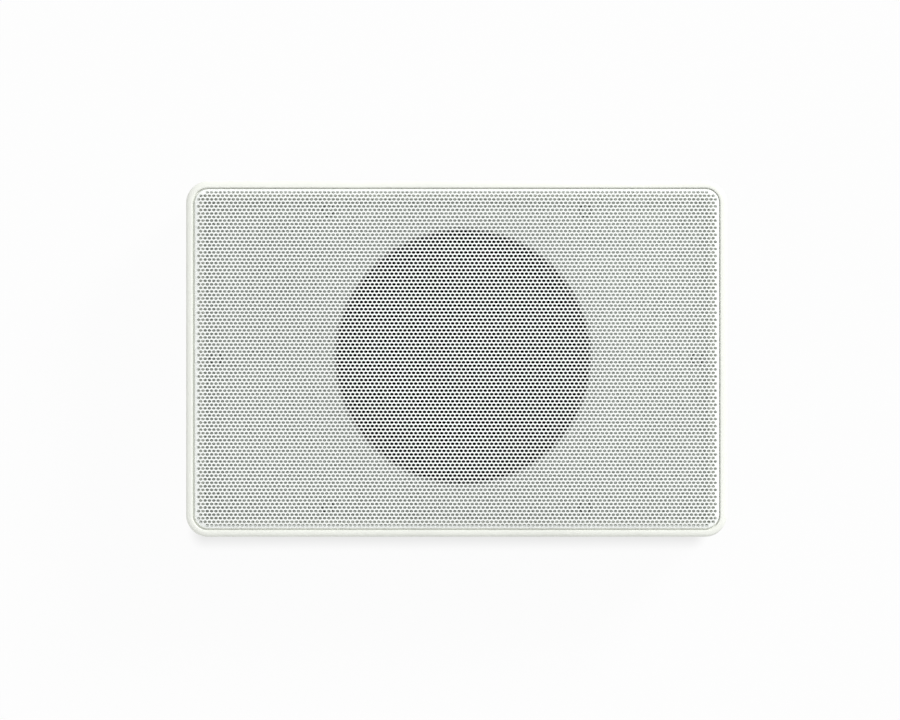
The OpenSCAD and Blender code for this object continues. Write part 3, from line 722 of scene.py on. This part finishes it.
def corner_tree():
    """Tree that sets a copy of a small piece at each corner of an upright rectangle."""
    tree, ids, given = new_tree("copies at the corners", Float=("Width", "Height"), Material=("Plastic",))
    corners = geometry(tree, "MeshGrid", {
        "Size X": given["Width"], "Size Y": given["Height"], "Vertices X": 2, "Vertices Y": 2})
    stood = geometry(tree, "Transform", {"Geometry": corners, "Rotation": UPRIGHT})
    placed = geometry(tree, "InstanceOnPoints", {"Points": stood, "Instance": given["Geometry"]})
    end_tree(tree, placed, given["Plastic"])
    return tree, ids


def past_corner(tree, half_size, corner):
    """How far each point lies past the corner centres of a rounded rectangle.

    Gives the length, the step, the part within the centres and the sign of each coordinate.
    """
    place = geometry(tree, "InputPosition")
    spread_out = vector_math(tree, "ABSOLUTE", place)
    straight = vector_math(tree, "SUBTRACT", half_size, combine(tree, X=corner, Y=corner))
    past = vector_math(tree, "SUBTRACT", spread_out, straight)
    step = vector_math(tree, "MAXIMUM", past, (0.0, 0.0, 0.0))
    inner = vector_math(tree, "MINIMUM", spread_out, straight)
    return vector_math(tree, "LENGTH", step), step, inner, vector_math(tree, "SIGN", place)


def laid_out(tree, points, cell, given):
    """A cell on every point as one mesh, with nothing past the sheet's rounded outline."""
    margin = 0.02 * MM
    placed = geometry(tree, "InstanceOnPoints", {"Points": points, "Instance": cell})
    real = geometry(tree, "RealizeInstances", {"Geometry": placed})
    welded = geometry(tree, "MergeByDistance", {"Geometry": real, "Distance": 5 * WELD})
    length, step, inner, sign = past_corner(tree, given["Half size"], given["Corner"])
    limit = calculate(tree, "SUBTRACT", given["Corner"], margin)
    ratio = calculate(tree, "DIVIDE", limit, calculate(tree, "MAXIMUM", length, WELD))
    share = calculate(tree, "MINIMUM", ratio, 1.0)
    shorter = add(tree, "ShaderNodeVectorMath", {0: step, "Scale": share}, operation="SCALE")
    reach = vector_math(tree, "ADD", inner, shorter.outputs["Vector"])
    kept_in = vector_math(tree, "MULTIPLY", reach, sign)
    return geometry(tree, "SetPosition", {"Geometry": welded, "Position": kept_in})


def free_edges(tree, mesh):
    """Curves along the edges that only one face uses."""
    faces = geometry(tree, "InputMeshEdgeNeighbors")
    alone = calculate(tree, "LESS_THAN", faces, 1.5)
    return geometry(tree, "MeshToCurve", {"Mesh": mesh, "Selection": alone})


def both_of(tree, first, second):
    """Two geometries in one."""
    both = add(tree, "GeometryNodeJoinGeometry", {"Geometry": first})
    tree.links.new(second, both.inputs[0])
    return both.outputs[0]


def joined_mesh(tree, first, second):
    """Two meshes in one, with the points that they share merged."""
    both = both_of(tree, first, second)
    return geometry(tree, "MergeByDistance", {"Geometry": both, "Distance": WELD})


def fill_between(tree, outer, inner):
    """Faces between an outer curve and the curves inside it."""
    return geometry(tree, "FillCurve", {"Curve": both_of(tree, outer, inner)})


def smoothing_tree():
    """Tree that joins a solid's loose triangles and shades its curved faces smoothly."""
    tree, _, given = new_tree("smooth curved faces")
    joined = geometry(tree, "MergeByDistance", {"Geometry": given["Geometry"], "Distance": WELD})
    soft = geometry(tree, "SetShadeSmooth", {"Geometry": joined, "Shade Smooth": True}, domain="FACE")
    bend = geometry(tree, "InputMeshEdgeAngle")
    crease = calculate(tree, "GREATER_THAN", bend, math.radians(28))
    sharp = geometry(tree, "SetShadeSmooth",
                     {"Geometry": soft, "Selection": crease, "Shade Smooth": False}, domain="EDGE")
    add(tree, "NodeGroupOutput", {"Geometry": sharp})
    return tree


def finish_nodes(**materials):
    """Gives nodes of the frame their finishes and smooth shading; their meshes stay as they are."""
    tree = bpy.data.node_groups.get("smooth curved faces") or smoothing_tree()
    for name, material in materials.items():
        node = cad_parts[name]
        for slot in node.material_slots:
            slot.material = material
        node.modifiers.new("smooth curved faces", "NODES").node_group = tree
        weighted_normals(node)


def outline_mesh(outline):
    """A mesh of one closed line of edges."""
    count = len(outline)
    mesh = bpy.data.meshes.new("outline")
    mesh.from_pydata(outline, [(i, (i + 1) % count) for i in range(count)], [])
    return mesh


def grown_piece(name, mesh, tree, ids, values):
    """A linked object with the plain mesh that a node tree makes of a given one."""
    base = bpy.data.objects.new(name + "_base", mesh)
    bpy.context.scene.collection.objects.link(base)
    modifier = base.modifiers.new("node tree", "NODES")
    modifier.node_group = tree
    for key, value in values.items():
        modifier[ids[key]] = value
    graph = bpy.context.evaluated_depsgraph_get()
    result = bpy.data.meshes.new_from_object(base.evaluated_get(graph), depsgraph=graph)
    bpy.data.objects.remove(base)
    bpy.data.meshes.remove(mesh)
    result.name = name
    piece = bpy.data.objects.new(name, result)
    bpy.context.scene.collection.objects.link(piece)
    return piece


class SPEAKER_OT_grille(bpy.types.Operator):
    """Make the perforated face in three bands and the folded edge around it"""

    bl_idname = "speaker.grille"
    bl_label = "Grille"

    def execute(self, context):
        case, sizes = context.scene.speaker_case, context.scene.speaker_grille
        coat = powder_coat("grille powder coat", sizes.colour)
        outer = case.corner_radius - case.rim_width - sizes.gap
        # How far the face overlaps its folded edge
        lap = 0.1 * MM
        flat = outer - sizes.bend_radius - lap
        half_width = FRONT_WIDTH / 2 - case.corner_radius + flat
        half_height = FRONT_HEIGHT / 2 - case.corner_radius + flat
        tree, ids = perforation_tree()
        lowest = -(sizes.rows - 1) / 2 * sizes.row_pitch
        # Share of a pitch by which the field reaches past its outermost holes
        spare = 0.1
        reach_x = ((sizes.columns - 1) / 2 + spare) * sizes.pitch
        values = {
            "Pitch": sizes.pitch, "Row pitch": sizes.row_pitch, "Sheet": sizes.sheet,
            "Face height": GRILLE_FACE, "Hole width": sizes.hole_width, "Hole height": sizes.hole_height,
            "Crown width": sizes.crown_width, "Crown drop": sizes.crown_drop,
            "Half size": (half_width, half_height, 0.0),
            "Reach": (reach_x, spare * sizes.row_pitch - lowest, 0.0),
            "Reach corner": sizes.reach_corner, "Corner": flat, "Columns": sizes.columns, "Rows": sizes.rows,
            "Hole sides": 8, "Coat": coat, "Play": (sizes.shift_x, 0.0, sizes.shift_z),
        }
        outline = [
            (centre[0] + way[0] * flat, centre[1] + way[1] * flat, 0.0)
            for centre, way in corner_stations(16)
        ]
        labels = ("lower", "middle", "upper")
        cuts = [lowest + (round(sizes.rows * i / len(labels)) - 0.5) * sizes.row_pitch for i in (1, 2)]
        for label, foot, top in zip(labels, [-FRONT_HEIGHT, *cuts], [*cuts, FRONT_HEIGHT]):
            values.update({"Band foot": foot, "Band top": top})
            band = grown_piece("grille_face_" + label, outline_mesh(outline), tree, ids, values)
            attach(band, CABINET)
            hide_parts("grille")
        bend, hem, drop = sizes.bend_radius, outer - sizes.hem, sizes.crown_drop
        slope = math.atan(2 * drop / sizes.crown_width)
        fold = outer - bend + bend * math.sin(slope)
        fold_height = GRILLE_FACE - drop - (fold - flat) * math.tan(slope)
        under_flat = GRILLE_FACE - drop - sizes.sheet - lap
        under_hem = under_flat + drop * (1 - (1 - (flat - hem) / sizes.crown_width) ** 2)
        profile = [(flat, GRILLE_FACE - drop)]
        bend_centre = (outer - bend, fold_height - bend * math.cos(slope))
        profile += arc(bend_centre, bend, 90 - math.degrees(slope), 0, 10)
        profile += [(outer, GRILLE_FOOT), (hem, GRILLE_FOOT), (hem, under_hem), (flat, under_flat)]
        ring = carry_round("grille_edge", profile, shifted=range(len(profile)))
        edge = link_piece("grille_edge", ring, coat, 40)
        weighted_normals(edge)
        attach(edge, CABINET)
        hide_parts("grille")
        return {"FINISHED"}


class SPEAKER_OT_rim(bpy.types.Operator):
    """Make the front frame: a rim with both edges rounded, and the ledge that carries the grille"""

    bl_idname = "speaker.rim"
    bl_label = "Front rim"

    def execute(self, context):
        case = context.scene.speaker_case
        radius = case.corner_radius
        inner = radius - case.rim_width
        ledge = inner - case.ledge_width
        wide, drop, small = case.rim_slope_width, case.rim_slope_drop, case.rim_inner_radius
        profile = [(inner, RIM_BACK), (radius, RIM_BACK)]
        profile += arc((radius - wide, RIM_FACE - drop), wide, 0, 90, 16, drop)
        profile += arc((inner + small, RIM_FACE - small), small, 90, 180, 6)
        profile += [(inner, GRILLE_FOOT), (ledge, GRILLE_FOOT), (ledge, BAFFLE_FACE), (inner, BAFFLE_FACE)]
        plastic = moulded_plastic("rim plastic", case.rim_colour, 0.3 * MM, 0.004 * MM, (0.3, 0.38))
        rim = link_piece("front_rim", carry_round("front_rim", profile, 20), plastic, 40)
        weighted_normals(rim)
        # The lip reaches a little into the rim and under the grille
        play, lip_height = 0.05 * MM, 1 * MM
        skirt = inner - context.scene.speaker_grille.gap + play
        top = RIM_FACE - case.lip_depth
        foot = top - lip_height
        lip_profile = [(inner + play, top), (skirt, top), (skirt, foot), (inner + play, foot)]
        lip_mesh = carry_round("rim_lip", lip_profile, 20, shifted=(1, 2))
        lip = link_piece("rim_lip", lip_mesh, plastic, 40)
        for piece in (rim, lip):
            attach(piece, CABINET)
            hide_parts("front_frame")
        return {"FINISHED"}


class SPEAKER_OT_case(bpy.types.Operator):
    """Finish the housing, the baffle, the seals and the fixings"""

    bl_idname = "speaker.case"
    bl_label = "Case"

    def execute(self, context):
        case = context.scene.speaker_case
        housing = moulded_plastic("housing plastic", case.housing_colour, 0.45 * MM, 0.03 * MM)
        # The baffle gets painted light: its tint is paler to the right, towards the key lamp.
        baffle = moulded_plastic("baffle plastic", case.baffle_colour, 0.6 * MM, 0.03 * MM, painted_light_rightward=1.9)
        # Painted light: the screw heads are paler than the baffle to offset the shade in their recesses.
        screw_paint_with_painted_light = shade(case.baffle_colour, 1.25)
        painted = moulded_plastic("painted screw", screw_paint_with_painted_light, 0.5 * MM, 0.01 * MM, (0.3, 0.4))
        finish_nodes(
            rear_housing=housing,
            baffle=baffle,
            case_seal=foam_rubber("seal foam", (0.045, 0.045, 0.047)),
            driver_gasket=foam_rubber("gasket foam", (0.035, 0.035, 0.036)),
            case_screws=painted,
            driver_screws=plated_metal("blackened screw", (0.05, 0.05, 0.052)),
            cable_grommet=matt_rubber("grommet rubber", (0.03, 0.03, 0.031)),
            damping_pad=loose_felt("pad felt", (0.66, 0.64, 0.57)),
            terminal_block=moulded_plastic("terminal plastic", (0.72, 0.71, 0.66), 0.5 * MM),
            terminal_screws=plated_metal("terminal brass", (0.75, 0.58, 0.26)),
            inner_leads=sleeve_plastic("lead sleeve", (0.42, 0.035, 0.03)),
        )
        self.make_plugs(case)
        return {"FINISHED"}

    def make_plugs(self, case):
        """Press-in plugs that close the bores of the wall screws at the baffle."""
        plastic = moulded_plastic("plug plastic", case.baffle_colour, 0.5 * MM, 0.01 * MM)
        stem, head = case.wall_bore / 2, case.plug_head / 2
        head_height, stem_length, edge = 0.9 * MM, 4 * MM, 0.4 * MM
        dish, dish_edge = 2.2 * MM, 0.25 * MM
        foot, top, end = BAFFLE_FACE, BAFFLE_FACE + head_height, BAFFLE_FACE - stem_length
        profile = [(0.0, end), (stem - edge, end), (stem, end + edge), (stem, foot), (head, foot)]
        profile += arc((head - edge, top - edge), edge, 0, 90, 6)
        profile += [(dish + dish_edge, top), (dish, top - dish_edge), (0.0, top - dish_edge)]
        tree, ids = corner_tree()
        inset = 2 * case.wall_screw_inset
        values = {"Width": FRONT_WIDTH - inset, "Height": FRONT_HEIGHT - inset, "Plastic": plastic}
        plugs = grown_piece("screw_plugs", turned_mesh("plug", profile), tree, ids, values)
        smooth_faces(plugs.data, 35)
        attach(plugs, CABINET)


class SPEAKER_OT_driver(bpy.types.Operator):
    """Finish the driver's rigid parts and make its soft rings and leads"""

    bl_idname = "speaker.driver"
    bl_label = "Driver"

    def execute(self, context):
        sizes = context.scene.speaker_driver
        finish_nodes(
            driver_basket=stamped_steel("basket lacquer", (0.007, 0.007, 0.0075)),
            cone=pressed_paper("cone paper", sizes.cone_colour),
            dust_cap=pressed_paper("cap paper", shade(sizes.cone_colour, 0.9), (0.4, 0.55)),
            coil_former=pressed_paper("former paper", (0.42, 0.27, 0.13)),
            coil_winding=wound_wire("copper winding", (0.72, 0.32, 0.14)),
            top_plate=turned_steel("top plate steel", (0.58, 0.58, 0.56)),
            yoke=turned_steel("yoke steel", (0.58, 0.58, 0.56)),
            ring_magnet=ground_ferrite("ferrite", (0.05, 0.05, 0.054)),
            tag_board=pressed_paper("board paper", (0.2, 0.105, 0.045)),
            tags=plated_metal("tag brass", (0.75, 0.58, 0.26)),
        )
        self.make_surround(sizes)
        self.make_spider(sizes)
        self.make_tinsel_leads()
        return {"FINISHED"}

    def make_ring(self, name, profile, sectors, material, outer, inner, replaced, slot):
        """A soft ring in sectors, each a piece of its own."""
        step = 360 / sectors
        for i in range(sectors):
            label = f"{name}_{i + 1:02d}"
            mesh = sector_mesh(label, profile, i * step, (i + 1) * step, 6)
            piece = link_piece(label, mesh, material, 50)
            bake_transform(piece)
            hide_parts(replaced)

    def make_surround(self, sizes):
        """The rubber half roll between the basket and the cone."""
        wall = sizes.surround_wall
        level = BAFFLE_FACE + wall / 2
        roll = sizes.roll_height
        outer = (SURROUND_HIGH.x - SURROUND_LOW.x) / 2
        inner = sizes.surround_inner
        mid = sizes.roll_outer - roll
        path = [(outer, level)] + arc((mid, level), roll, 0, 180, 18) + [(inner, level)]
        rubber = matt_rubber("surround rubber", sizes.rubber_colour)
        self.make_ring("surround", sheet_profile(path, wall), sizes.sectors, rubber,
                       mid + roll, mid - roll, "surround", "surround")

    def make_spider(self, sizes):
        """The waved cloth ring between the basket's shelf and the coil's former."""
        cloth, former_radius, shelf_radius = 0.5 * MM, 12.8 * MM, 31.9 * MM
        waves, wave_height, steps = 4, 1.4 * MM, 48
        collar_height, grip = 1 * MM, 1 * MM
        collar = former_radius + cloth / 2
        level = -SPIDER_HIGH.y + wave_height / 2 + cloth / 2
        outer = (SPIDER_HIGH.x - SPIDER_LOW.x) / 2
        path = [(collar, level + collar_height), (collar, level)]
        for i in range(1, steps + 1):
            share = i / steps
            swing = -wave_height / 2 * math.sin(2 * math.pi * waves * share)
            path.append((collar + (shelf_radius - collar) * share, level + swing))
        path.append((outer, level))
        weave = woven_cloth("spider cloth", (0.45, 0.26, 0.1))
        self.make_ring("spider", sheet_profile(path, cloth), sizes.sectors, weave,
                       shelf_radius, collar + grip, "spider", "spider")

    def make_tinsel_leads(self):
        """The two braided leads from the tags to the cone, on a given route."""
        low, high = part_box("tinsel_leads")
        braid = plated_metal("tinsel braid", (0.72, 0.5, 0.26), 0.3 * MM)
        braid_width = 1.2 * MM
        tag_x, cone_x, axis_x = low.x, high.x, DRIVER_AXIS.x
        for label, side in (("lower", -1), ("upper", 1)):
            route = [
                (tag_x + 0.6 * MM, -30.2 * MM, 6.4 * MM), (tag_x + 0.6 * MM, -33.2 * MM, 11.2 * MM),
                (tag_x + 4.8 * MM, -35.3 * MM, 15 * MM), (axis_x - 38.5 * MM, -36.2 * MM, 14 * MM),
                (axis_x - 31 * MM, -36.6 * MM, 9 * MM), (axis_x - 26.8 * MM, -37.6 * MM, 6 * MM),
            ]
            placed = [(x, y, DRIVER_AXIS.z + side * z) for x, y, z in route]
            name = "tinsel_lead_" + label
            lead = link_piece(name, tube_mesh(name, placed, braid_width), braid, 60)
            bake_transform(lead)
            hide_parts("tinsel_leads")


class SPEAKER_OT_stage(bpy.types.Operator):
    """Set the camera, the lamps, the wall behind the speaker and the floor below the picture"""

    bl_idname = "speaker.stage"
    bl_label = "Stage"

    def execute(self, context):
        stage = context.scene.speaker_stage
        self.place_camera(context.scene, stage)
        wall = backdrop("pale wall", (0.55, 0.55, 0.55), stage.wall_light, stage.painted_contact_shadow)
        wall_y, floor_z, reach = 0.4 * MM, -340 * MM, 1600 * MM
        self.make_plane("stage_wall", wall, [
            (-reach, wall_y, floor_z), (reach, wall_y, floor_z),
            (reach, wall_y, reach), (-reach, wall_y, reach)])
        self.make_plane("stage_floor", wall, [
            (-reach, -2 * reach, floor_z), (reach, -2 * reach, floor_z),
            (reach, wall_y, floor_z), (-reach, wall_y, floor_z)])
        self.make_lamp("key lamp", stage.key_power, place=(3.0, -2.6, 3.0), size=1.4)
        self.make_lamp("fill lamp", stage.fill_power, place=(-1.6, -1.2, -0.5), size=1.2)
        self.make_lamp("back lamp", stage.back_power, place=(-0.7, 1.3, 0.9), size=1.0)
        self.make_world(context.scene, stage)
        context.scene.view_settings.view_transform = "Standard"
        return {"FINISHED"}

    def make_world(self, scene, stage):
        """Even light all round, which the camera sees as white."""
        world = bpy.data.worlds.new("even light")
        world.use_nodes = True
        tree = world.node_tree
        tree.nodes.clear()
        plain, white = (
            add(tree, "ShaderNodeBackground", {"Color": (1.0, 1.0, 1.0, 1.0), "Strength": strength})
            for strength in (stage.sky, WHITE)
        )
        seen = add(tree, "ShaderNodeLightPath").outputs["Is Camera Ray"]
        light = mix_shaders(tree, seen, plain, white)
        add(tree, "ShaderNodeOutputWorld", {"Surface": light.outputs[0]})
        scene.world = world

    def place_camera(self, scene, stage):
        """A camera straight before the speaker, as wide as the picture at the grille's face."""
        data = bpy.data.cameras.new("camera")
        data.sensor_width = 36.0
        data.lens = data.sensor_width * stage.camera_distance / stage.view_width
        data.clip_start, data.clip_end = 0.05, 20.0
        camera = bpy.data.objects.new("camera", data)
        scene.collection.objects.link(camera)
        camera.location = (stage.aim_x, -GRILLE_FACE - stage.camera_distance, stage.aim_z)
        camera.rotation_euler = UPRIGHT
        scene.camera = camera

    def make_plane(self, name, material, corners):
        """A flat stage piece with four corners."""
        mesh = bpy.data.meshes.new(name)
        mesh.from_pydata(corners, [], [(0, 1, 2, 3)])
        link_piece(name, mesh, material)

    def make_lamp(self, name, power, place, size):
        """A square lamp that faces the speaker; its place and size are in metres."""
        data = bpy.data.lights.new(name, "AREA")
        data.size = size
        data.energy = power
        lamp = bpy.data.objects.new(name, data)
        bpy.context.scene.collection.objects.link(lamp)
        lamp.location = place
        lamp.rotation_euler = (-Vector(place)).to_track_quat("-Z", "Y").to_euler()


class SPEAKER_PT_panel(bpy.types.Panel):
    """Sizes and colours of the speaker, and its operators"""

    bl_label = "Speaker"
    bl_idname = "SPEAKER_PT_panel"
    bl_space_type = "VIEW_3D"
    bl_region_type = "UI"
    bl_category = "Speaker"

    def draw(self, context):
        for group, operator in (("speaker_grille", "speaker.grille"), ("speaker_case", "speaker.rim"),
                                ("speaker_driver", "speaker.driver"), ("speaker_stage", "speaker.stage")):
            box = self.layout.box()
            settings = getattr(context.scene, group)
            for name in settings.bl_rna.properties.keys():
                if name not in ("rna_type", "name"):
                    box.prop(settings, name)
            box.operator(operator)
        self.layout.operator("speaker.case")


GROUPS = (
    ("speaker_case", SpeakerCaseSettings), ("speaker_grille", SpeakerGrilleSettings),
    ("speaker_driver", SpeakerDriverSettings), ("speaker_stage", SpeakerStageSettings),
)
CLASSES = (
    SPEAKER_OT_grille, SPEAKER_OT_rim, SPEAKER_OT_case, SPEAKER_OT_driver, SPEAKER_OT_stage,
    SPEAKER_PT_panel,
)


def register():
    """Registers the settings, the operators and the panel."""
    for name, group in GROUPS:
        bpy.utils.register_class(group)
        setattr(bpy.types.Scene, name, bpy.props.PointerProperty(type=group))
    for cls in CLASSES:
        bpy.utils.register_class(cls)


def unregister():
    """Takes the panel, the operators and the settings out again."""
    for cls in reversed(CLASSES):
        bpy.utils.unregister_class(cls)
    for name, group in reversed(GROUPS):
        delattr(bpy.types.Scene, name)
        bpy.utils.unregister_class(group)


def main():
    """Builds the stage and the speaker."""
    register()
    bpy.ops.speaker.stage()
    bpy.ops.speaker.case()
    bpy.ops.speaker.rim()
    bpy.ops.speaker.grille()
    bpy.ops.speaker.driver()


if __name__ == "__main__":
    main()
